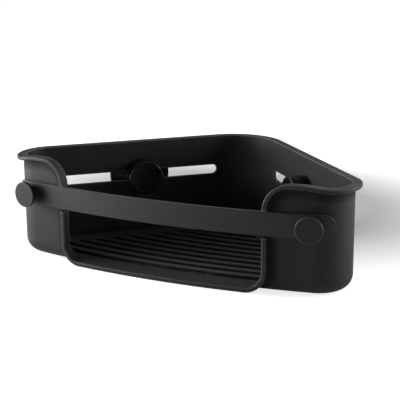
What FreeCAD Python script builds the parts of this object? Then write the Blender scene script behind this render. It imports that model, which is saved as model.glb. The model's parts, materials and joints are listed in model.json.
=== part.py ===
import FreeCAD, Part
import math
import os

V = FreeCAD.Vector
UP = V(0, 0, 1)
ROOT2 = math.sqrt(2)

# ------------------------------------------------------------------ driving dimensions, mm and degrees
# The bin is a quarter-corner tray. X runs along its front, Y towards the corner of the room, Z up.
# The origin is on the underside, at the middle of the rim's width and depth.

# Plan of the bin, on the outer face of its wall
LEG = 266.3  # each back wall, from sharp back corner to sharp front corner
BOW = 25.9  # bulge of the front wall past the chord between its corners
BACK_RADIUS = 44.2
FRONT_RADIUS = 29.6

# Shell
HEIGHT = 91.0  # underside to the top of the rim along the back walls
WALL = 2.5
BASE_RADIUS = 12.5  # outer bottom edge
STRIP_LEVEL = 4.0  # top of the smooth strip at the front of the floor
DECK_LEVEL = 5.4  # top of the ribbed floor
STRIP_DEPTH = 18.7  # front wall to the middle of the first groove

# Rim and the flange that frames the front opening
RIM_REACH = 5.8
RIM_THICKNESS = 3.3
RIM_EDGE = 1.0
RIM_RISE = 3.2  # how much higher the rim stands over the front wall
RISE_START = 126.0  # half width of the level, raised part of the front rim
OPENING_HALF = 95.8
FLANGE_WIDTH = 4.0
SHOULDER_RADIUS = 22.5
CORNER_RADIUS = 15.0

# Grooves and drain slots of the floor
GROOVE_PITCH = 12.9
GROOVE_WIDTH = 3.6
GROOVE_DEPTH = 2.2
GROOVE_LIP = 0.9  # rounding of the groove's top edges
GROOVE_INSET = 34.2  # groove ends, from the outer faces of the back walls
GROOVE_SHORTEST = 24.0
DRAIN_WIDTH = 2.2
DRAIN_LENGTH = 26.0
DRAIN_SPACING = 56.0

# Slots of the back walls
SLOT_HEIGHT = 9.2
SLOT_START = 46.2  # along the wall, from the sharp back corner
SLOT_END = 206.2

# Front strap
STRAP_LEVEL = 60.0
STRAP_HEIGHT = 20.6
STRAP_THICKNESS = 2.9
STRAP_GAP = 0.3  # strap to wall
STRAP_EDGE = 0.5
STRAP_TAB = 9.2  # post axis to the centre of the strap's round end
NOTCH_GAP = 1.4  # strap to the ends of the flange above and below it

# Strap posts
POST_INSET = 0.9  # post axis to the end of the bow, along it
POST_HEAD_DIAMETER = 23.2
POST_HEAD_THICKNESS = 3.3
POST_HEAD_EDGE = 0.8
POST_REACH = 13.5  # wall to the face of the head
POST_NECK_DIAMETER = 13.6
POST_COLLAR_DIAMETER = 16.0
POST_COLLAR_THICKNESS = 1.2
POST_SPIGOT_DIAMETER = 7.0
POST_FIT = 0.15
SCREW_DIAMETER = 3.0
SCREW_LENGTH = 10.0
SCREW_HEAD_DIAMETER = 6.0
SCREW_HEAD_HEIGHT = 2.2
SCREW_RECESS_DEPTH = 1.2
SCREW_RECESS_WIDTH = 0.9
SCREW_RECESS_LENGTH = 3.2
SCREW_FIT = 0.05
SCREW_TIP_ROOM = 1.0
WASHER_DIAMETER = 12.0
WASHER_THICKNESS = 1.0
SEAT_GAP = 0.05

# Suction mounts: distances are from the outer face of the back wall, outwards
MOUNT_STATION = 123.7  # stud axis along the wall, from the sharp back corner
ROOM_GAP = 10.0  # back wall to the room's wall
PAD_DIAMETER = 59.0
PAD_THICKNESS = 2.4
PAD_BELOW_RIM = 0.7
PAD_BOSS_DIAMETER = 24.0
PAD_BOSS_HEIGHT = 2.0
HOUSING_GAP = 0.3
HOUSING_SHELL = 1.8
HOUSING_THROAT = 30.0  # diameter of the flat hub behind the bin
HOUSING_EDGE = 1.5  # height of the skirt's cylindrical edge
HOUSING_FLARE = 1.0  # how far the skirt is hollowed below a straight cone
BUSH_LENGTH = 24.0
BUSH_FIT = 0.3
BUSH_FLANGE = 1.2
BUSH_FLANGE_MARGIN = 2.5
STUD_DIAMETER = 6.0
STUD_FIT = 0.05
STUD_FLANGE_DIAMETER = 18.0
STUD_FLANGE_THICKNESS = 1.4
STUD_CLEARANCE = 0.3

# Lock knobs, inside the bin
LOCK_WASHER_DIAMETER = 24.0
LOCK_WASHER_THICKNESS = 1.5
LOCK_GAP = 0.2
KNOB_DIAMETER = 33.0
KNOB_REACH = 20.0  # outer face of the back wall to the face of the knob, inwards
KNOB_EDGE = 1.4
KNOB_RECESS = 0.6
CAP_DIAMETER = 26.0
CAP_THICKNESS = 1.4
INSERT_DIAMETER = 10.0
INSERT_LENGTH = 5.0
PART_FIT = 0.1

# ------------------------------------------------------------------ places worked out from them
CORNER_Y = (LEG / ROOT2 + BOW + BACK_RADIUS * (ROOT2 - 1)) / 2
HALF_CHORD = LEG / ROOT2
BOW_RADIUS = (HALF_CHORD ** 2 + BOW ** 2) / (2 * BOW)
BOW_CENTRE = V(0, CORNER_Y - HALF_CHORD - BOW + BOW_RADIUS, 0)
BACK_CENTRE = V(0, CORNER_Y - BACK_RADIUS * ROOT2, 0)
TOP = HEIGHT + RIM_RISE
SLOT_LEVEL = HEIGHT - RIM_THICKNESS - PAD_BELOW_RIM - PAD_DIAMETER / 2
KNOB_BACK = -WALL - 2 * LOCK_GAP - LOCK_WASHER_THICKNESS
STUD_TIP = KNOB_BACK - INSERT_LENGTH - 4 * PART_FIT
BEYOND = 2 * LEG  # longer than the bin, for cutting tools
OVERCUT = 1.0  # how far a cutting tool reaches past a surface
SHAVE = 0.01  # how far inside a surface a test shape ends


def right_corner_centre():
    """Centre of the front corner: inside the right back wall and tangent to the bow."""
    inward = CORNER_Y / ROOT2 - FRONT_RADIUS
    across = inward - BOW_CENTRE.y / ROOT2
    along = math.sqrt((BOW_RADIUS - FRONT_RADIUS) ** 2 - across ** 2) - BOW_CENTRE.y / ROOT2
    return V((inward + along) / ROOT2, (inward - along) / ROOT2, 0)


RIGHT_CENTRE = right_corner_centre()
LEFT_CENTRE = V(-RIGHT_CENTRE.x, RIGHT_CENTRE.y, 0)
SEAM = math.degrees(math.atan2(RIGHT_CENTRE.x, BOW_CENTRE.y - RIGHT_CENTRE.y))
RISE_END = RIGHT_CENTRE.x + FRONT_RADIUS - WALL  # the rim is level from here back
POST_ANGLE = SEAM - math.degrees(POST_INSET / BOW_RADIUS)
TAB_ANGLE = POST_ANGLE + math.degrees(STRAP_TAB / (FRONT_RADIUS + STRAP_GAP + STRAP_THICKNESS / 2))


# ------------------------------------------------------------------ small helpers
def polar(centre, radius, degrees):
    angle = math.radians(degrees)
    return V(centre.x + radius * math.cos(angle), centre.y + radius * math.sin(angle), centre.z)


def arc(centre, radius, start, end):
    ends = polar(centre, radius, start), polar(centre, radius, end)
    return Part.Arc(ends[0], polar(centre, radius, (start + end) / 2), ends[1]).toShape()


def line(start, end):
    return Part.LineSegment(start, end).toShape()


def solid_of(edges, direction):
    """Closed edges, filled and extruded."""
    wire = Part.Wire(Part.__sortEdges__(edges))
    return Part.Face(wire).extrude(direction)


def lathe(points):
    """A profile of (radius, height) points, turned about the Z axis."""
    corners = [V(radius, 0, height) for radius, height in points]
    wire = Part.makePolygon(corners + corners[:1])
    return Part.Face(wire).revolve(V(0, 0, 0), UP, 360)


def rounded(shape, radius, edges):
    return shape.makeFillet(radius, edges)


def circles_at(shape, radius, height):
    """The full circles of a turned shape that have this radius and height."""
    found = []
    for edge in shape.Edges:
        curve = edge.Curve
        if isinstance(curve, Part.Circle) and edge.isClosed():
            if abs(curve.Radius - radius) < 1e-6 and abs(curve.Center.z - height) < 1e-6:
                found.append(edge)
    return found


def mirrored(shape):
    return shape.mirror(V(0, 0, 0), V(1, 0, 0))


# ------------------------------------------------------------------ plan of the bin
def plan_edges(offset, level):
    """Closed outline of the bin in plan, offset outwards from the outer face of its wall."""
    front = FRONT_RADIUS + offset
    back = BACK_RADIUS + offset
    edges = [
        arc(RIGHT_CENTRE, front, SEAM - 90, 45),
        line(polar(RIGHT_CENTRE, front, 45), polar(BACK_CENTRE, back, 45)),
        arc(BACK_CENTRE, back, 45, 135),
        line(polar(BACK_CENTRE, back, 135), polar(LEFT_CENTRE, front, 135)),
        arc(LEFT_CENTRE, front, 135, 270 - SEAM),
        arc(BOW_CENTRE, BOW_RADIUS + offset, 270 - SEAM, 270 + SEAM),
    ]
    for edge in edges:
        edge.translate(UP * level)
    return edges


def plan_solid(offset, low, high):
    return solid_of(plan_edges(offset, low), UP * (high - low))


def tub(offset, low, high, bottom_radius):
    """The plan extruded, with its bottom edge rounded."""
    body = plan_solid(offset, low, high)
    bottom = [edge for edge in body.Edges if edge.BoundBox.ZMax < low + 1e-6]
    return rounded(body, bottom_radius, bottom)


# ------------------------------------------------------------------ front elevation of the rim
def rise_edges(level):
    """S-curve of the rim, from the raised front down to its level at the corner."""
    run = (RISE_END - RISE_START) / 2
    radius = (run ** 2 + (RIM_RISE / 2) ** 2) / RIM_RISE
    half_turn = math.degrees(math.asin(run / radius)) / 2
    high = V(RISE_START, level + RIM_RISE, 0)
    low = V(RISE_END, level, 0)
    middle = (high + low) * 0.5
    crest = polar(V(high.x, high.y - radius, 0), radius, 90 - half_turn)
    trough = polar(V(low.x, low.y + radius, 0), radius, 270 - half_turn)
    return [
        Part.Arc(high, crest, middle).toShape(),
        Part.Arc(middle, trough, low).toShape(),
        line(low, V(BEYOND, level, 0)),
    ]


def frame_edges(inset, rim, foot):
    """Half of the opening's outline in front view, x right and y up, from rim level to foot level.

    inset is how far the line lies outside the edge of the opening.
    """
    side = OPENING_HALF + inset
    shoulder = SHOULDER_RADIUS - inset
    corner = CORNER_RADIUS + inset
    shoulder_centre = V(side + shoulder, rim + RIM_RISE - shoulder, 0)
    corner_centre = V(side - corner, foot + corner, 0)
    return [
        line(V(RISE_START, rim + RIM_RISE, 0), polar(shoulder_centre, shoulder, 90)),
        arc(shoulder_centre, shoulder, 90, 180),
        line(polar(shoulder_centre, shoulder, 180), polar(corner_centre, corner, 0)),
        arc(corner_centre, corner, 0, -90),
        line(polar(corner_centre, corner, -90), V(0, foot, 0)),
    ]


def front_prism(edges):
    """A half outline in front view and its mirror image, stood up and run along Y over the front."""
    face = Part.Face(Part.Wire(Part.__sortEdges__(edges)))
    face.rotate(V(0, 0, 0), V(1, 0, 0), 90)
    face.translate(V(0, RIGHT_CENTRE.y, 0))
    half = face.extrude(V(0, -BEYOND, 0))
    return half.fuse(mirrored(half)).removeSplitter()


def flange_prism():
    """The band of rim and flange seen from the front: over the shoulders and round the opening."""
    outside = frame_edges(0, HEIGHT, STRIP_LEVEL) + rise_edges(HEIGHT)
    inside = frame_edges(FLANGE_WIDTH, HEIGHT - RIM_THICKNESS, 0) + rise_edges(HEIGHT - RIM_THICKNESS)
    side = line(V(BEYOND, HEIGHT, 0), V(BEYOND, HEIGHT - RIM_THICKNESS, 0))
    middle = line(V(0, STRIP_LEVEL, 0), V(0, 0, 0))
    return front_prism(outside + inside + [side, middle])


def opening_prism():
    """Room above the front rim and through the opening, down to the strip and not into the deck."""
    outside = frame_edges(0, HEIGHT, STRIP_LEVEL) + rise_edges(HEIGHT)
    above = [
        line(V(0, STRIP_LEVEL, 0), V(0, 2 * TOP, 0)),
        line(V(0, 2 * TOP, 0), V(BEYOND, 2 * TOP, 0)),
        line(V(BEYOND, 2 * TOP, 0), V(BEYOND, HEIGHT, 0)),
    ]
    deck = Part.makeCylinder(BOW_RADIUS - STRIP_DEPTH, DECK_LEVEL, BOW_CENTRE)
    return front_prism(outside + above).cut(deck)


def behind_front(low, high):
    """A block over the back part of the bin, from the rim's widest line to the room's corner."""
    block = Part.makeBox(2 * BEYOND, BEYOND, high - low)
    block.translate(V(-BEYOND, RIGHT_CENTRE.y, low))
    return block


def strap_notches():
    """Gaps in the flange where the strap crosses it."""
    half = STRAP_HEIGHT / 2 + NOTCH_GAP
    low = STRAP_LEVEL - half
    ring = plan_solid(RIM_REACH + OVERCUT, low, STRAP_LEVEL + half).cut(plan_solid(0, low, STRAP_LEVEL + half))
    width = FLANGE_WIDTH + SHOULDER_RADIUS
    notches = []
    for centre in (-OPENING_HALF, OPENING_HALF):
        block = Part.makeBox(2 * width, BEYOND, 2 * half)
        block.translate(V(centre - width, RIGHT_CENTRE.y - BEYOND, low))
        notches.append(ring.common(block))
    return notches


# ------------------------------------------------------------------ floor
def bow_ring(radii, low, high):
    """A ring concentric with the front wall; radii are distances behind its outer face."""
    outer = Part.makeCylinder(BOW_RADIUS - radii[0], high - low, BOW_CENTRE + UP * low)
    inner = Part.makeCylinder(BOW_RADIUS - radii[1], high - low, BOW_CENTRE + UP * low)
    return outer.cut(inner)


def front_strip():
    """Room above the smooth strip between the front wall and the first groove."""
    room = plan_solid(-BASE_RADIUS, STRIP_LEVEL, DECK_LEVEL)
    return room.common(bow_ring((-OVERCUT, STRIP_DEPTH), STRIP_LEVEL, DECK_LEVEL))


def groove_zone():
    """Prism over the grooved part of the floor, parallel to the back walls."""
    apex = CORNER_Y - GROOVE_INSET * ROOT2
    corners = [V(0, apex, 0), V(-BEYOND, apex - BEYOND, 0), V(BEYOND, apex - BEYOND, 0)]
    return Part.Face(Part.makePolygon(corners + corners[:1])).extrude(UP * HEIGHT)


def groove_depths():
    """Distances of the groove centres behind the front wall, while a groove is long enough."""
    apex = CORNER_Y - GROOVE_INSET * ROOT2
    depths = []
    depth = STRIP_DEPTH
    while apex - (BOW_CENTRE.y - BOW_RADIUS + depth) > GROOVE_SHORTEST / 2:
        depths.append(depth)
        depth += GROOVE_PITCH
    return depths


def groove_cutter(depth):
    """One groove: a round-bottomed trough with rounded lips, turned about the bow's centre."""
    radius = BOW_RADIUS - depth
    half = GROOVE_WIDTH / 2
    floor = DECK_LEVEL - GROOVE_DEPTH
    waist = DECK_LEVEL - GROOVE_LIP

    def place(across, height):
        return V(0, BOW_CENTRE.y - radius - across, height)

    slope = GROOVE_LIP * (1 - 1 / ROOT2)
    turn = GROOVE_LIP / ROOT2
    edges = [
        Part.Arc(
            place(-half - GROOVE_LIP, DECK_LEVEL),
            place(-half - GROOVE_LIP + turn, DECK_LEVEL - slope),
            place(-half, waist),
        ).toShape(),
        Part.Arc(place(-half, waist), place(0, floor), place(half, waist)).toShape(),
        Part.Arc(
            place(half, waist),
            place(half + GROOVE_LIP - turn, DECK_LEVEL - slope),
            place(half + GROOVE_LIP, DECK_LEVEL),
        ).toShape(),
        line(place(half + GROOVE_LIP, DECK_LEVEL), place(half + GROOVE_LIP, HEIGHT / 2)),
        line(place(half + GROOVE_LIP, HEIGHT / 2), place(-half - GROOVE_LIP, HEIGHT / 2)),
        line(place(-half - GROOVE_LIP, HEIGHT / 2), place(-half - GROOVE_LIP, DECK_LEVEL)),
    ]
    face = Part.Face(Part.Wire(edges))
    swing = 2 * SEAM
    face.rotate(BOW_CENTRE, UP, -swing)
    return face.revolve(BOW_CENTRE, UP, 2 * swing)


def drain_slot(depth, across):
    """One drain slot, bent along its groove, with round ends."""
    radius = BOW_RADIUS - depth
    half_width = DRAIN_WIDTH / 2
    middle = 270 + math.degrees(across / radius)
    swing = math.degrees((DRAIN_LENGTH / 2 - half_width) / radius)
    edges = [
        arc(BOW_CENTRE, radius + half_width, middle - swing, middle + swing),
        arc(polar(BOW_CENTRE, radius, middle + swing), half_width, middle + swing, middle + swing + 180),
        arc(BOW_CENTRE, radius - half_width, middle + swing, middle - swing),
        arc(polar(BOW_CENTRE, radius, middle - swing), half_width, middle - swing - 180, middle - swing),
    ]
    cutter = solid_of(edges, UP * (DECK_LEVEL + 2 * OVERCUT))
    cutter.translate(UP * -OVERCUT)
    return cutter


def drain_slots():
    """Drain slots in every second groove, spread evenly about the middle."""
    apex = CORNER_Y - GROOVE_INSET * ROOT2
    slots = []
    for depth in groove_depths()[1::2]:
        reach = apex - (BOW_CENTRE.y - BOW_RADIUS + depth)
        count = int((reach - DRAIN_LENGTH / 2) / DRAIN_SPACING)
        for step in range(-count, count + 1):
            slots.append(drain_slot(depth, step * DRAIN_SPACING))
    return slots


# ------------------------------------------------------------------ places on the walls
def stood(shape, turn, spot):
    """Turns a shape's Z axis to the front, then by turn about the vertical, and moves it to spot."""
    placed = shape.copy()
    placed.rotate(V(0, 0, 0), V(1, 0, 0), 90)
    placed.rotate(V(0, 0, 0), UP, turn)
    placed.translate(spot)
    return placed


def on_back_wall(shape, station):
    """Moves a shape to the right back wall: its Z runs outwards and its X to the back corner."""
    along = V(1, -1, 0) / ROOT2
    return stood(shape, 135, V(0, CORNER_Y, SLOT_LEVEL) + along * station)


def on_front_wall(shape):
    """Moves a shape to the right strap post: its Z runs out of the front wall."""
    spot = polar(BOW_CENTRE, BOW_RADIUS, 270 + POST_ANGLE)
    return stood(shape, POST_ANGLE, V(spot.x, spot.y, STRAP_LEVEL))


def stadium(length, height, low, high):
    """A slot shape with round ends, lying along X and extruded along Z."""
    radius = height / 2
    half = length / 2 - radius
    edges = [
        line(V(-half, -radius, low), V(half, -radius, low)),
        arc(V(half, 0, low), radius, -90, 90),
        line(V(half, radius, low), V(-half, radius, low)),
        arc(V(-half, 0, low), radius, 90, 270),
    ]
    return solid_of(edges, UP * (high - low))


# ------------------------------------------------------------------ bin
def washer_seat():
    """Room for a flat seat on the curved inside of the wall, under the washer of a strap post."""
    depth = 2 * WASHER_THICKNESS
    return Part.makeCylinder(WASHER_DIAMETER / 2 + POST_FIT, depth, V(0, 0, -WALL - depth))


def rim_edges(shape):
    """The long outer edges of the rim and flange, without the short ones at the strap's gaps."""
    inner = plan_solid(RIM_REACH - SHAVE, -OVERCUT, 2 * TOP)
    found = []
    for edge in shape.Edges:
        outside = not any(inner.isInside(point, 1e-6, True) for point in edge.discretize(3))
        if outside and edge.Length > FLANGE_WIDTH + RIM_EDGE:
            found.append(edge)
    return found


def bin_body():
    """The moulded shell, with its rim, framed front opening, ribbed floor and wall slots."""
    shell = tub(0, 0, TOP, BASE_RADIUS).cut(behind_front(HEIGHT, 2 * TOP))
    back_rim = plan_solid(RIM_REACH, HEIGHT - RIM_THICKNESS, HEIGHT).common(behind_front(0, TOP))
    flange = flange_prism().common(plan_solid(RIM_REACH, 0, TOP))
    shell = shell.fuse([back_rim, flange.cut(strap_notches())])
    shell = shell.cut(opening_prism())
    shell = shell.cut(tub(-WALL, DECK_LEVEL, 2 * TOP, BASE_RADIUS - WALL)).removeSplitter()
    shell = rounded(shell, RIM_EDGE, rim_edges(shell))
    slot = stadium(SLOT_END - SLOT_START, SLOT_HEIGHT, -WALL - OVERCUT, OVERCUT)
    slot = on_back_wall(slot, (SLOT_START + SLOT_END) / 2)
    post_hole = Part.makeCylinder(
        POST_SPIGOT_DIAMETER / 2 + POST_FIT,
        WALL + 2 * OVERCUT,
        V(0, 0, -WALL - OVERCUT),
    )
    post_hole = on_front_wall(post_hole.fuse(washer_seat()))
    grooves = [groove_cutter(depth).common(groove_zone()) for depth in groove_depths()]
    shell = shell.cut([front_strip(), slot, mirrored(slot), post_hole, mirrored(post_hole)])
    return shell.cut(grooves + drain_slots()).Solids[0]


# ------------------------------------------------------------------ front strap and its posts
def strap_half():
    """Right half of the strap: concentric with the bow, then round the corner to its tab."""
    inner = STRAP_GAP
    outer = STRAP_GAP + STRAP_THICKNESS
    low = STRAP_LEVEL - STRAP_HEIGHT / 2
    tab = TAB_ANGLE - 90

    def sector(start, end):
        return [
            arc(RIGHT_CENTRE, FRONT_RADIUS + outer, start, end),
            line(polar(RIGHT_CENTRE, FRONT_RADIUS + outer, end), polar(RIGHT_CENTRE, FRONT_RADIUS + inner, end)),
            arc(RIGHT_CENTRE, FRONT_RADIUS + inner, end, start),
        ]

    band = sector(SEAM - 90, tab) + [
        arc(BOW_CENTRE, BOW_RADIUS + outer, 270, 270 + SEAM),
        arc(BOW_CENTRE, BOW_RADIUS + inner, 270, 270 + SEAM),
        line(polar(BOW_CENTRE, BOW_RADIUS + outer, 270), polar(BOW_CENTRE, BOW_RADIUS + inner, 270)),
    ]
    start_line = line(
        polar(RIGHT_CENTRE, FRONT_RADIUS + inner, tab),
        polar(RIGHT_CENTRE, FRONT_RADIUS + outer, tab),
    )
    end = sector(tab, tab + math.degrees(STRAP_HEIGHT / FRONT_RADIUS)) + [start_line]
    half = solid_of(band, UP * STRAP_HEIGHT)
    end = solid_of(end, UP * STRAP_HEIGHT)
    half.translate(UP * low)
    end.translate(UP * low)
    disc = Part.makeCylinder(STRAP_HEIGHT / 2, 2 * FRONT_RADIUS)
    disc = stood(disc, TAB_ANGLE, RIGHT_CENTRE + UP * STRAP_LEVEL)
    return half.fuse(end.common(disc)).removeSplitter()


def front_strap():
    """The flat strap across the front opening, with a hole for each post."""
    half = strap_half()
    strap = half.fuse(mirrored(half)).removeSplitter()
    face_offset = STRAP_GAP + STRAP_THICKNESS - SHAVE
    inner = plan_solid(face_offset, 0, TOP)
    edges = []
    for edge in strap.Edges:
        if not any(inner.isInside(point, 1e-6, True) for point in edge.discretize(3)):
            edges.append(edge)
    strap = rounded(strap, STRAP_EDGE, edges)
    radius = POST_NECK_DIAMETER / 2 + POST_FIT
    hole = on_front_wall(Part.makeCylinder(radius, POST_REACH, V(0, 0, -WALL)))
    return strap.cut([hole, mirrored(hole)]).Solids[0]


def strap_post():
    """Button-headed post: a spigot in the wall, a neck through the strap and a round head."""
    spigot = POST_SPIGOT_DIAMETER / 2
    neck = POST_NECK_DIAMETER / 2
    collar = POST_COLLAR_DIAMETER / 2
    collar_low = STRAP_GAP + STRAP_THICKNESS + SEAT_GAP
    head_low = POST_REACH - POST_HEAD_THICKNESS
    head = POST_HEAD_DIAMETER / 2
    post = lathe([
        (0, SEAT_GAP),
        (neck, SEAT_GAP),
        (neck, collar_low),
        (collar, collar_low),
        (collar, collar_low + POST_COLLAR_THICKNESS),
        (neck, collar_low + POST_COLLAR_THICKNESS),
        (neck, head_low),
        (head, head_low),
        (head, POST_REACH),
        (0, POST_REACH),
    ])
    rims = circles_at(post, head, POST_REACH) + circles_at(post, head, head_low)
    post = rounded(post, POST_HEAD_EDGE, rims)
    foot = on_front_wall(Part.makeCylinder(neck, WALL + SEAT_GAP, V(0, 0, -WALL)))
    foot = foot.cut(plan_solid(SEAT_GAP, 0, HEIGHT))
    core = Part.makeCylinder(spigot, WALL, V(0, 0, SEAT_GAP - WALL))
    tip = SCREW_LENGTH - WALL - WASHER_THICKNESS + SCREW_TIP_ROOM
    pilot = Part.makeCylinder(SCREW_DIAMETER / 2 + SCREW_FIT, tip + WALL, V(0, 0, -WALL))
    body = on_front_wall(post.fuse(core)).fuse(foot).removeSplitter()
    return body.cut(on_front_wall(pilot)).Solids[0]


def post_washer():
    """Flat washer between the wall and the post's screw."""
    low = -WALL - SEAT_GAP - WASHER_THICKNESS
    ring = Part.makeCylinder(WASHER_DIAMETER / 2, WASHER_THICKNESS, V(0, 0, low))
    hole = Part.makeCylinder(SCREW_DIAMETER / 2 + POST_FIT, WASHER_THICKNESS, V(0, 0, low))
    return on_front_wall(ring.cut(hole))


def post_screw():
    """Pan-head screw that draws the post against the wall from inside the bin."""
    seat = -WALL - 2 * SEAT_GAP - WASHER_THICKNESS
    head = Part.makeCylinder(SCREW_HEAD_DIAMETER / 2, SCREW_HEAD_HEIGHT, V(0, 0, seat - SCREW_HEAD_HEIGHT))
    head = rounded(head, SCREW_HEAD_HEIGHT / 3, circles_at(head, SCREW_HEAD_DIAMETER / 2, seat - SCREW_HEAD_HEIGHT))
    shank = Part.makeCylinder(SCREW_DIAMETER / 2, SCREW_LENGTH, V(0, 0, seat))
    screw = head.fuse(shank)
    for turn in (0, 90):
        bar = Part.makeBox(SCREW_RECESS_LENGTH, SCREW_RECESS_WIDTH, SCREW_RECESS_DEPTH)
        corner = V(-SCREW_RECESS_LENGTH / 2, -SCREW_RECESS_WIDTH / 2, seat - SCREW_HEAD_HEIGHT)
        bar.translate(corner)
        bar.rotate(V(0, 0, 0), UP, turn)
        screw = screw.cut(bar)
    return on_front_wall(screw)


# ------------------------------------------------------------------ suction mounts
def suction_pad():
    """Soft disc against the room's wall, with a boss moulded round the stud's flange."""
    face = ROOM_GAP
    back = face - PAD_THICKNESS
    boss = back - PAD_BOSS_HEIGHT
    radius = PAD_DIAMETER / 2
    pocket = STUD_FLANGE_DIAMETER / 2 + PART_FIT
    lip = boss + PAD_BOSS_HEIGHT - STUD_FLANGE_THICKNESS - 2 * PART_FIT
    pad = lathe([
        (0, back),
        (pocket, back),
        (pocket, lip),
        (STUD_DIAMETER / 2 + STUD_CLEARANCE, lip),
        (STUD_DIAMETER / 2 + STUD_CLEARANCE, boss),
        (PAD_BOSS_DIAMETER / 2, boss),
        (PAD_BOSS_DIAMETER / 2, back),
        (radius, back),
        (radius, face),
        (0, face),
    ])
    pad = rounded(pad, PAD_THICKNESS / 4, circles_at(pad, radius, face))
    return on_back_wall(pad, MOUNT_STATION)


def cup_housing():
    """Rigid bell behind the pad: a flat hub towards the bin, flared to a skirt that presses the pad."""
    back = HOUSING_GAP + BUSH_FLANGE
    rim = ROOM_GAP - PAD_THICKNESS - PART_FIT
    edge = rim - HOUSING_EDGE
    bore = STUD_DIAMETER / 2 + STUD_CLEARANCE
    throat = HOUSING_THROAT / 2
    outer = PAD_DIAMETER / 2
    slant = math.atan2(edge - back, outer - throat)

    def point(radius, height):
        return V(radius, 0, height)

    bend = point((throat + outer) / 2 - HOUSING_FLARE, (back + edge) / 2 + HOUSING_FLARE)
    inner_bend = bend + point(-math.sin(slant), math.cos(slant)) * HOUSING_SHELL
    edges = [
        line(point(bore, back), point(throat, back)),
        Part.Arc(point(throat, back), bend, point(outer, edge)).toShape(),
        line(point(outer, edge), point(outer, rim)),
        line(point(outer, rim), point(outer - HOUSING_SHELL, rim)),
        Part.Arc(
            point(outer - HOUSING_SHELL, rim),
            inner_bend,
            point(throat - HOUSING_SHELL, back + HOUSING_SHELL),
        ).toShape(),
        line(point(throat - HOUSING_SHELL, back + HOUSING_SHELL), point(bore, back + HOUSING_SHELL)),
        line(point(bore, back + HOUSING_SHELL), point(bore, back)),
    ]
    bell = Part.Face(Part.Wire(edges)).revolve(V(0, 0, 0), UP, 360)
    return on_back_wall(bell, MOUNT_STATION)


def slide_bush():
    """Long block that runs in the wall's slot, with a plate between the wall and the housing."""
    height = SLOT_HEIGHT - 2 * BUSH_FIT
    block = stadium(BUSH_LENGTH, height, PART_FIT - WALL, HOUSING_GAP + BUSH_FLANGE)
    plate = stadium(
        BUSH_LENGTH + 2 * BUSH_FLANGE_MARGIN,
        height + 2 * BUSH_FLANGE_MARGIN,
        HOUSING_GAP,
        HOUSING_GAP + BUSH_FLANGE,
    )
    bore = Part.makeCylinder(STUD_DIAMETER / 2 + STUD_CLEARANCE, 2 * ROOM_GAP, V(0, 0, -ROOM_GAP))
    return on_back_wall(block.fuse(plate).cut(bore).removeSplitter(), MOUNT_STATION)


def mount_stud():
    """Steel stud from the pad through housing, bush and washer into the knob's insert."""
    flange_top = ROOM_GAP - PAD_THICKNESS - PART_FIT
    flange_low = flange_top - STUD_FLANGE_THICKNESS
    radius = STUD_DIAMETER / 2
    chamfer = STUD_DIAMETER / 10
    stud = lathe([
        (0, flange_top),
        (STUD_FLANGE_DIAMETER / 2, flange_top),
        (STUD_FLANGE_DIAMETER / 2, flange_low),
        (radius, flange_low),
        (radius, STUD_TIP + chamfer),
        (radius - chamfer, STUD_TIP),
        (0, STUD_TIP),
    ])
    return on_back_wall(stud, MOUNT_STATION)


def lock_washer():
    """Washer that the knob presses on the inside of the back wall."""
    low = -WALL - LOCK_GAP - LOCK_WASHER_THICKNESS
    ring = Part.makeCylinder(LOCK_WASHER_DIAMETER / 2, LOCK_WASHER_THICKNESS, V(0, 0, low))
    hole = Part.makeCylinder(STUD_DIAMETER / 2 + STUD_FIT, LOCK_WASHER_THICKNESS, V(0, 0, low))
    return on_back_wall(ring.cut(hole), MOUNT_STATION)


# ------------------------------------------------------------------ lock knobs
def lock_knob():
    """Round knob: pocket for the insert at the back, recess for the cap in its face."""
    face = -KNOB_REACH
    radius = KNOB_DIAMETER / 2
    recess = CAP_DIAMETER / 2 + PART_FIT
    cap_seat = face + KNOB_RECESS + CAP_THICKNESS + PART_FIT
    pocket = INSERT_DIAMETER / 2 + PART_FIT
    pocket_end = KNOB_BACK - INSERT_LENGTH - 2 * PART_FIT
    bore = STUD_DIAMETER / 2 + STUD_CLEARANCE
    knob = lathe([
        (pocket, KNOB_BACK),
        (radius, KNOB_BACK),
        (radius, face),
        (recess, face),
        (recess, cap_seat),
        (bore, cap_seat),
        (bore, pocket_end),
        (pocket, pocket_end),
    ])
    knob = rounded(knob, KNOB_EDGE, circles_at(knob, radius, face))
    return on_back_wall(rounded(knob, KNOB_RECESS / 2, circles_at(knob, recess, face)), MOUNT_STATION)


def knob_insert():
    """Threaded insert moulded into the knob."""
    low = KNOB_BACK - PART_FIT - INSERT_LENGTH
    ring = Part.makeCylinder(INSERT_DIAMETER / 2, INSERT_LENGTH, V(0, 0, low))
    hole = Part.makeCylinder(STUD_DIAMETER / 2 + STUD_FIT, INSERT_LENGTH, V(0, 0, low))
    return on_back_wall(ring.cut(hole), MOUNT_STATION)


def knob_cap():
    """Plain disc set into the knob's face."""
    low = -KNOB_REACH + KNOB_RECESS
    cap = Part.makeCylinder(CAP_DIAMETER / 2, CAP_THICKNESS, V(0, 0, low))
    cap = rounded(cap, CAP_THICKNESS / 4, circles_at(cap, CAP_DIAMETER / 2, low))
    return on_back_wall(cap, MOUNT_STATION)


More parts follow.
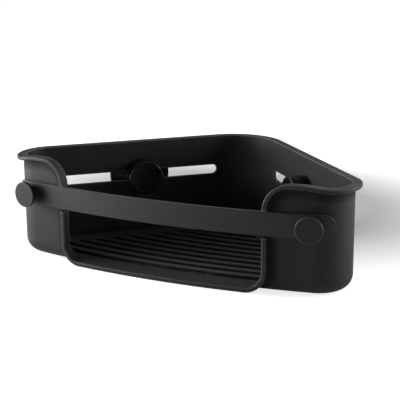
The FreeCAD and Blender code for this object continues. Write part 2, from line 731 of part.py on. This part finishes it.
# ------------------------------------------------------------------ all pieces
def pieces():
    """Every node by name: the bin's own pieces, then each pair on its left and right."""
    nodes = {"bin_body": bin_body(), "front_strap": front_strap()}
    paired = {
        "strap_post": strap_post(),
        "suction_pad": suction_pad(),
        "cup_housing": cup_housing(),
        "slide_bush": slide_bush(),
        "mount_stud": mount_stud(),
        "lock_washer": lock_washer(),
        "lock_knob": lock_knob(),
        "knob_insert": knob_insert(),
        "knob_cap": knob_cap(),
    }
    for name, shape in paired.items():
        nodes["right_" + name] = shape
        nodes["left_" + name] = mirrored(shape)
    for name, shape in (("post_washers", post_washer()), ("post_screws", post_screw())):
        nodes[name] = Part.makeCompound([shape, mirrored(shape)])
    return nodes


os.makedirs("parts", exist_ok=True)
for node, solid in pieces().items():
    solid.exportStep(f"parts/{node}.step")
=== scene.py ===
"""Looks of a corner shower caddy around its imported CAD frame: materials, floor, light and camera."""

import json
import math

import bpy
from mathutils import Matrix, Vector

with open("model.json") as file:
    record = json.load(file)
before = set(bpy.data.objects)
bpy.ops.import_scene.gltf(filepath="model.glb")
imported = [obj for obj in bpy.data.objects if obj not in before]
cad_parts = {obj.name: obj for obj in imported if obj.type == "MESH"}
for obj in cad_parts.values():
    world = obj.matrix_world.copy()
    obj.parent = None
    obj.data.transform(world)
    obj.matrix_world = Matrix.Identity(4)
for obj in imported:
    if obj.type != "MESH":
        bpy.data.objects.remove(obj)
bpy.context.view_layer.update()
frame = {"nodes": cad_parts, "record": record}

# ------------------------------------------------------------------ camera, in metres
CAMERA_PLACE = (0.437933, -0.884083, 0.302742)
CAMERA_RIGHT = (0.893293, 0.449437, -0.005853)
CAMERA_UP = (-0.107519, 0.226311, 0.968103)
CAMERA_BACK = (0.436426, -0.864170, 0.250485)
LENS = 98.7405
SENSOR = 36.0
CLIP_NEAR = 0.01
CLIP_FAR = 50

# ------------------------------------------------------------------ colours, linear
CHARCOAL = (0.0294, 0.0296, 0.0308)
STRAP_BLACK = (0.0099, 0.0100, 0.0104)
# charcoal darkened into a painted shade, for the knobs and the suction housings
SHADED_BLACK = (0.0040, 0.0040, 0.0042)
PAD_GREY = (0.045, 0.046, 0.050)
STEEL = (0.60, 0.60, 0.61)
BRASS = (0.72, 0.53, 0.25)
WHITE = (1.0, 1.0, 1.0, 1.0)
PAPER_DARK = (0.80, 0.80, 0.80, 1.0)
PAPER_LIGHT = (0.82, 0.82, 0.82, 1.0)

# ------------------------------------------------------------------ moulded plastic, in metres
RIB_TOP = 0.0054  # level of the floor's ribs
RIB_MARGIN = 0.0002  # how far a rib's top may be from that level
GROOVE_TOP = 0.0056  # hollows up to here are the floor's grooves
GROOVE_BLEND = 0.001  # height over which their painted shade fades out
EDGE_REACH = 0.0014  # reach of the painted highlight and the wear in from an outer edge
LIP_REACH = 0.003  # reach of the painted shade on the lips in from a groove
LEVEL_NORMAL = (0.90, 0.99)  # upward part of the normal, from sloping to level
EDGE_COVER = (0.92, 0.75)  # cover from inside, on a broad face and at an edge
LIP_COVER = (0.82, 0.96)  # cover from inside, at a groove and on a rib's middle
HOLLOW_OPEN = (0.90, 1.0)  # open share of the sky, in a hollow and on an open face
GROOVE_LEAST = 0.0  # colour left in a groove under the painted shade
HOLLOW_LEAST = 0.5  # colour left in any other hollow under the painted shade
EDGE_HIGHLIGHT_SHADE = 6.0  # painted highlight on worn edges, against the plastic's own colour
RIB_TOP_HIGHLIGHT = 2.8  # painted highlight on the tops of the ribs, against the plastic's own colour
WORN_POLISH = 0.12  # roughness that wear takes away
GRAIN_HEIGHT = 0.00012
PLASTIC_SPECULAR = 0.25

# ------------------------------------------------------------------ floor and world
FLOOR_HALF = 6.0
FLOOR_DROP = 0.0002  # floor below the object's base
FLOOR_GLOW = 0.79
FLOOR_GLOSS = 0.25  # share of the floor's glow that shows in reflections
NEAR_FLOOR = 0.5  # the glow rises to 1 from here
FAR_FLOOR = 1.3  # to here
SHADE_GLOW = 0.04  # glow in the painted shadow behind the object
SHADE_CENTRE = (-0.045, 0.18, 0)
SHADE_STRETCH = (0.72, 1.0, 1.0)  # widens the painted shadow along X
SHADE_RADIUS = 0.12
SHADE_END = 0.24
WORLD_LEVEL = 0.006
BACKDROP_GLOSS = 0.20  # share of the white backdrop that shows in reflections

# ------------------------------------------------------------------ lights
LIGHT_AIM = Vector((0, 0, 0.05))

# name, turn and lift in degrees, distance and side in metres, power in watts
LIGHTS = (
    ("key_left_front", 55, 12, 1.1, 0.55, 5.4),
    ("key_left", 75, 12, 1.1, 0.55, 10.2),
    ("high_left_back", 115, 35, 1.1, 0.55, 0.6),
    ("high_left", 90, 62, 1.2, 0.8, 0.4),
    ("right", -98, 14, 1.3, 0.6, 2.2),
    ("right_back", -120, 13, 1.3, 0.6, 9.5),
    ("back", 180, 20, 1.5, 0.7, 1.8),
    ("high_back", 145, 45, 1.5, 0.7, 0.7),
)


def add_camera():
    data = bpy.data.cameras.new("camera")
    data.lens = LENS
    data.sensor_width = SENSOR
    data.clip_start = CLIP_NEAR
    data.clip_end = CLIP_FAR
    camera = bpy.data.objects.new("camera", data)
    bpy.context.scene.collection.objects.link(camera)
    columns = (CAMERA_RIGHT, CAMERA_UP, CAMERA_BACK, CAMERA_PLACE)
    rows = [[column[i] for column in columns] for i in range(3)]
    camera.matrix_world = Matrix(rows + [[0, 0, 0, 1]])
    bpy.context.scene.camera = camera


# ------------------------------------------------------------------ material helpers
class Nodes:
    """A node tree, with short ways to add and join nodes."""

    def __init__(self, owner, output):
        owner.use_nodes = True
        self.owner = owner
        self.tree = owner.node_tree
        self.tree.nodes.clear()
        self.out = self.add(output)

    def add(self, kind, inputs=None, **settings):
        node = self.tree.nodes.new(kind)
        for key, value in settings.items():
            setattr(node, key, value)
        for key, value in (inputs or {}).items():
            self.put(node, key, value)
        return node

    def put(self, node, key, value):
        if isinstance(value, bpy.types.NodeSocket):
            self.tree.links.new(value, node.inputs[key])
        else:
            node.inputs[key].default_value = value

    def finish(self, shader):
        self.put(self.out, "Surface", shader.outputs[0])
        return self.owner

    def principled(self, **values):
        inputs = {key.replace("_", " "): value for key, value in values.items()}
        return self.finish(self.add("ShaderNodeBsdfPrincipled", inputs))

    def spot(self):
        return self.add("ShaderNodeTexCoord").outputs["Object"]

    def noise(self, scale, detail=2.0, roughness=0.5, vector=None):
        inputs = {"Scale": scale, "Detail": detail, "Roughness": roughness}
        node = self.add("ShaderNodeTexNoise", inputs)
        self.put(node, "Vector", vector or self.spot())
        return node.outputs["Fac"]

    def ramp(self, value, low, high, out_low, out_high):
        inputs = {"Value": value, "From Min": low, "From Max": high, "To Min": out_low, "To Max": out_high}
        return self.add("ShaderNodeMapRange", inputs).outputs["Result"]

    def mix(self, factor, a, b):
        node = self.add("ShaderNodeMix", {0: factor, 6: a, 7: b}, data_type="RGBA")
        return node.outputs[2]

    def blend(self, factor, a, b):
        """One shader over another."""
        return self.add("ShaderNodeMixShader", {0: factor, 1: a.outputs[0], 2: b.outputs[0]})

    def maths(self, kind, *values):
        node = self.add("ShaderNodeMath", dict(enumerate(values)), operation=kind)
        return node.outputs[0]

    def bump(self, height, strength, distance):
        inputs = {"Strength": strength, "Distance": distance, "Height": height}
        return self.add("ShaderNodeBump", inputs).outputs["Normal"]

    def upright(self, vector):
        return self.add("ShaderNodeSeparateXYZ", {"Vector": vector}).outputs["Z"]

    def cover(self, reach, samples, inside):
        """Open share of the sky within reach, seen from the surface outwards or inwards."""
        inputs = {"Distance": reach}
        settings = {"samples": samples, "inside": inside, "only_local": True}
        return self.add("ShaderNodeAmbientOcclusion", inputs, **settings).outputs["AO"]

    def backdrop(self, gloss):
        """1 where the eye sees the surface and gloss where a mirror or glass does."""
        path = self.add("ShaderNodeLightPath").outputs
        through = self.maths("MAXIMUM", path["Is Glossy Ray"], path["Is Transmission Ray"])
        return self.maths("MAXIMUM", path["Is Camera Ray"], self.maths("MULTIPLY", through, gloss))

    def edges(self):
        """0 on broad faces, rising to 1 along outer edges."""
        return self.ramp(self.cover(EDGE_REACH, 8, True), *EDGE_COVER, 0.0, 1.0)

    def openness(self, reach):
        """Painted shade: 1 on open faces and less in hollows narrower than reach, least in the floor's
        grooves.
        """
        hollow = self.cover(reach, 16, False)
        height = self.upright(self.spot())
        least = self.ramp(height, GROOVE_TOP, GROOVE_TOP + GROOVE_BLEND, GROOVE_LEAST, HOLLOW_LEAST)
        return self.ramp(hollow, *HOLLOW_OPEN, least, 1.0)

    def ribs(self):
        """Masks of the level tops of the floor's ribs, for a painted highlight, and of their lips along
        the grooves, for a painted shade.
        """
        facing = self.add("ShaderNodeTexCoord").outputs["Normal"]
        upward = self.ramp(self.upright(facing), *LEVEL_NORMAL, 0.0, 1.0)
        level = self.maths("COMPARE", self.upright(self.spot()), RIB_TOP, RIB_MARGIN)
        middle = self.ramp(self.cover(LIP_REACH, 16, True), *LIP_COVER, 0.0, 1.0)
        highlit_tops = self.maths("MULTIPLY", self.maths("MULTIPLY", level, upward), middle)
        shaded_lips = self.maths("MULTIPLY", level, self.maths("SUBTRACT", 1.0, middle))
        return highlit_tops, shaded_lips


def material(name):
    return Nodes(bpy.data.materials.new(name), "ShaderNodeOutputMaterial")


def shade(colour, factor):
    return tuple(c * factor for c in colour) + (1.0,)


def moulded(name, colour, roughness, grain, depth, wear_and_highlight, reach):
    """Spark-eroded plastic: fine grain, slow clouding, painted highlights on worn outer edges and on the
    rib tops, and painted shade in hollows and along the grooves' lips, which are also dull.
    """
    n = material(name)
    speckle = n.noise(grain, 3.0, 0.6)
    clouding = n.ramp(n.noise(14.0, 3.0), 0.3, 0.7, -0.25, 0.25)
    tone = n.maths("ADD", clouding, n.ramp(speckle, 0.3, 0.7, 0.3, 0.7))
    # 1 where no painted shade falls
    clear = n.openness(reach)
    patchy = n.ramp(n.noise(90.0, 2.0), 0.35, 0.65, 0.7 * wear_and_highlight, wear_and_highlight)
    # painted highlight along the outer edges, patchy like wear; the same mask polishes them
    worn_and_highlit = n.maths("MULTIPLY", n.maths("MULTIPLY", n.edges(), patchy), clear)
    highlit_tops, shaded_lips = n.ribs()
    body = n.mix(tone, shade(colour, 0.82), shade(colour, 1.18))
    body = n.mix(worn_and_highlit, body, shade(colour, EDGE_HIGHLIGHT_SHADE))
    # painted highlight: the rib tops are lighter, as if lit
    body = n.mix(highlit_tops, body, shade(colour, RIB_TOP_HIGHLIGHT))
    # painted shade: the rib tops go black along the grooves' lips
    body = n.mix(shaded_lips, body, shade(colour, 0.0))
    # painted shade: hollows and grooves go dark
    body = n.mix(clear, shade(colour, 0.0), body)
    gloss = n.ramp(n.noise(35.0, 4.0, 0.6), 0.3, 0.7, roughness - 0.04, roughness + 0.05)
    gloss = n.maths("SUBTRACT", gloss, n.maths("MULTIPLY", worn_and_highlit, WORN_POLISH))
    bare = n.maths("MINIMUM", clear, n.maths("SUBTRACT", 1.0, shaded_lips))
    return n.principled(
        Base_Color=body,
        Roughness=n.ramp(bare, 0.0, 1.0, 1.0, gloss),
        Specular_IOR_Level=PLASTIC_SPECULAR,
        Normal=n.bump(speckle, depth, GRAIN_HEIGHT),
    )


def elastomer(name, colour, roughness):
    """Smooth matt elastomer: a dusty sheen, hardly any grain and slow clouding."""
    n = material(name)
    cloud = n.ramp(n.noise(22.0, 4.0, 0.6), 0.3, 0.7, 0.0, 1.0)
    return n.principled(
        Base_Color=n.mix(cloud, shade(colour, 0.88), shade(colour, 1.14)),
        Roughness=n.ramp(n.noise(60.0, 3.0), 0.3, 0.7, roughness - 0.05, roughness + 0.05),
        Normal=n.bump(n.noise(2600.0, 2.0), 0.12, 0.00008),
        Sheen_Weight=0.05,
        Sheen_Roughness=0.5,
    )


def brushed(name, colour, roughness):
    """Turned metal: fine tool marks with a little variation in gloss."""
    n = material(name)
    stretch = n.add("ShaderNodeMapping", {"Vector": n.spot(), "Scale": (1.0, 1.0, 14.0)})
    marks = n.noise(700.0, 3.0, 0.6, stretch.outputs[0])
    streaks = n.ramp(marks, 0.3, 0.7, 0.0, 1.0)
    return n.principled(
        Base_Color=n.mix(streaks, shade(colour, 0.86), shade(colour, 1.06)),
        Metallic=1.0,
        Roughness=n.ramp(marks, 0.3, 0.7, roughness - 0.06, roughness + 0.08),
        Normal=n.bump(marks, 0.15, 0.00005),
    )


# ------------------------------------------------------------------ floor and light
def floor_paper():
    """Pale matt paper with its own glow, less of it in a painted shadow behind the object."""
    n = material("floor_paper")
    paper = n.mix(n.noise(1.5, 3.0), PAPER_DARK, PAPER_LIGHT)
    diffuse = n.add("ShaderNodeBsdfDiffuse", {"Color": paper})
    reach = n.add("ShaderNodeVectorMath", {0: n.spot()}, operation="LENGTH").outputs["Value"]
    open_floor = n.ramp(reach, NEAR_FLOOR, FAR_FLOOR, FLOOR_GLOW, 1.0)
    wide = n.add("ShaderNodeMapping", {"Vector": n.spot(), "Scale": SHADE_STRETCH}).outputs[0]
    away = n.add("ShaderNodeVectorMath", {0: wide, 1: SHADE_CENTRE}, operation="DISTANCE")
    level = n.ramp(away.outputs["Value"], SHADE_RADIUS, SHADE_END, SHADE_GLOW, open_floor)
    strength = n.maths("MULTIPLY", n.backdrop(FLOOR_GLOSS), level)
    glow = n.add("ShaderNodeEmission", {"Strength": strength})
    top = n.add("ShaderNodeAddShader", {0: diffuse.outputs[0], 1: glow.outputs[0]})
    below = n.add("ShaderNodeNewGeometry").outputs["Backfacing"]
    return n.finish(n.blend(below, top, n.add("ShaderNodeBsdfTransparent")))


def add_floor():
    mesh = bpy.data.meshes.new("floor")
    half = FLOOR_HALF
    corners = [(-half, -half, 0), (half, -half, 0), (half, half, 0), (-half, half, 0)]
    mesh.from_pydata(corners, [], [(0, 1, 2, 3)])
    mesh.materials.append(floor_paper())
    floor = bpy.data.objects.new("floor", mesh)
    floor.location.z = -FLOOR_DROP
    bpy.context.scene.collection.objects.link(floor)


def add_world():
    """A dim surround that lights the object, with a white backdrop to the eye."""
    world = bpy.data.worlds.new("studio")
    bpy.context.scene.world = world
    n = Nodes(world, "ShaderNodeOutputWorld")
    surround = n.add("ShaderNodeBackground", {"Color": WHITE, "Strength": WORLD_LEVEL})
    white = n.add("ShaderNodeBackground", {"Color": WHITE, "Strength": 1.0})
    n.finish(n.blend(n.backdrop(BACKDROP_GLOSS), surround, white))


def add_light(name, turn, lift, distance, side, power):
    """A square softbox aimed at the object.

    turn is its angle in degrees from the front towards the left, and lift its angle above the floor.
    """
    turn = math.radians(turn)
    lift = math.radians(lift)
    flat = math.cos(lift)
    away = Vector((-math.sin(turn) * flat, -math.cos(turn) * flat, math.sin(lift)))
    data = bpy.data.lights.new(name, "AREA")
    data.shape = "SQUARE"
    data.size = side
    data.energy = power
    lamp = bpy.data.objects.new(name, data)
    lamp.location = LIGHT_AIM + away * distance
    lamp.rotation_mode = "QUATERNION"
    lamp.rotation_quaternion = away.to_track_quat("Z", "Y")
    lamp.visible_camera = False
    bpy.context.scene.collection.objects.link(lamp)


add_camera()
add_world()
add_floor()
for light in LIGHTS:
    add_light(*light)

# ------------------------------------------------------------------ materials on the CAD nodes
FINISHES = {
    "shell_plastic": moulded(
        "shell_moulded", CHARCOAL, roughness=0.50, grain=2400.0, depth=0.35, wear_and_highlight=0.8, reach=0.010
    ),
    "strap_elastomer": elastomer("strap_elastomer", STRAP_BLACK, roughness=0.55),
    "post_plastic": moulded(
        "post_moulded", CHARCOAL, roughness=0.46, grain=2800.0, depth=0.25, wear_and_highlight=0.5, reach=0.004
    ),
    "knob_plastic": moulded(
        "knob_moulded", SHADED_BLACK, roughness=0.26, grain=2800.0, depth=0.12, wear_and_highlight=0.8, reach=0.004
    ),
    "housing_plastic": moulded(
        "housing_moulded", SHADED_BLACK, roughness=0.38, grain=2800.0, depth=0.2, wear_and_highlight=0.4, reach=0.01
    ),
    "pad_elastomer": elastomer("pad_elastomer", PAD_GREY, roughness=0.38),
    "steel": brushed("turned_steel", STEEL, roughness=0.30),
    "brass": brushed("turned_brass", BRASS, roughness=0.32),
}

for part in frame["record"]["subparts"]:
    node = frame["nodes"][part["node"]]
    node.data.materials.clear()
    node.data.materials.append(FINISHES[part["material_slot"]])

scene = bpy.context.scene
scene.view_settings.view_transform = "Standard"
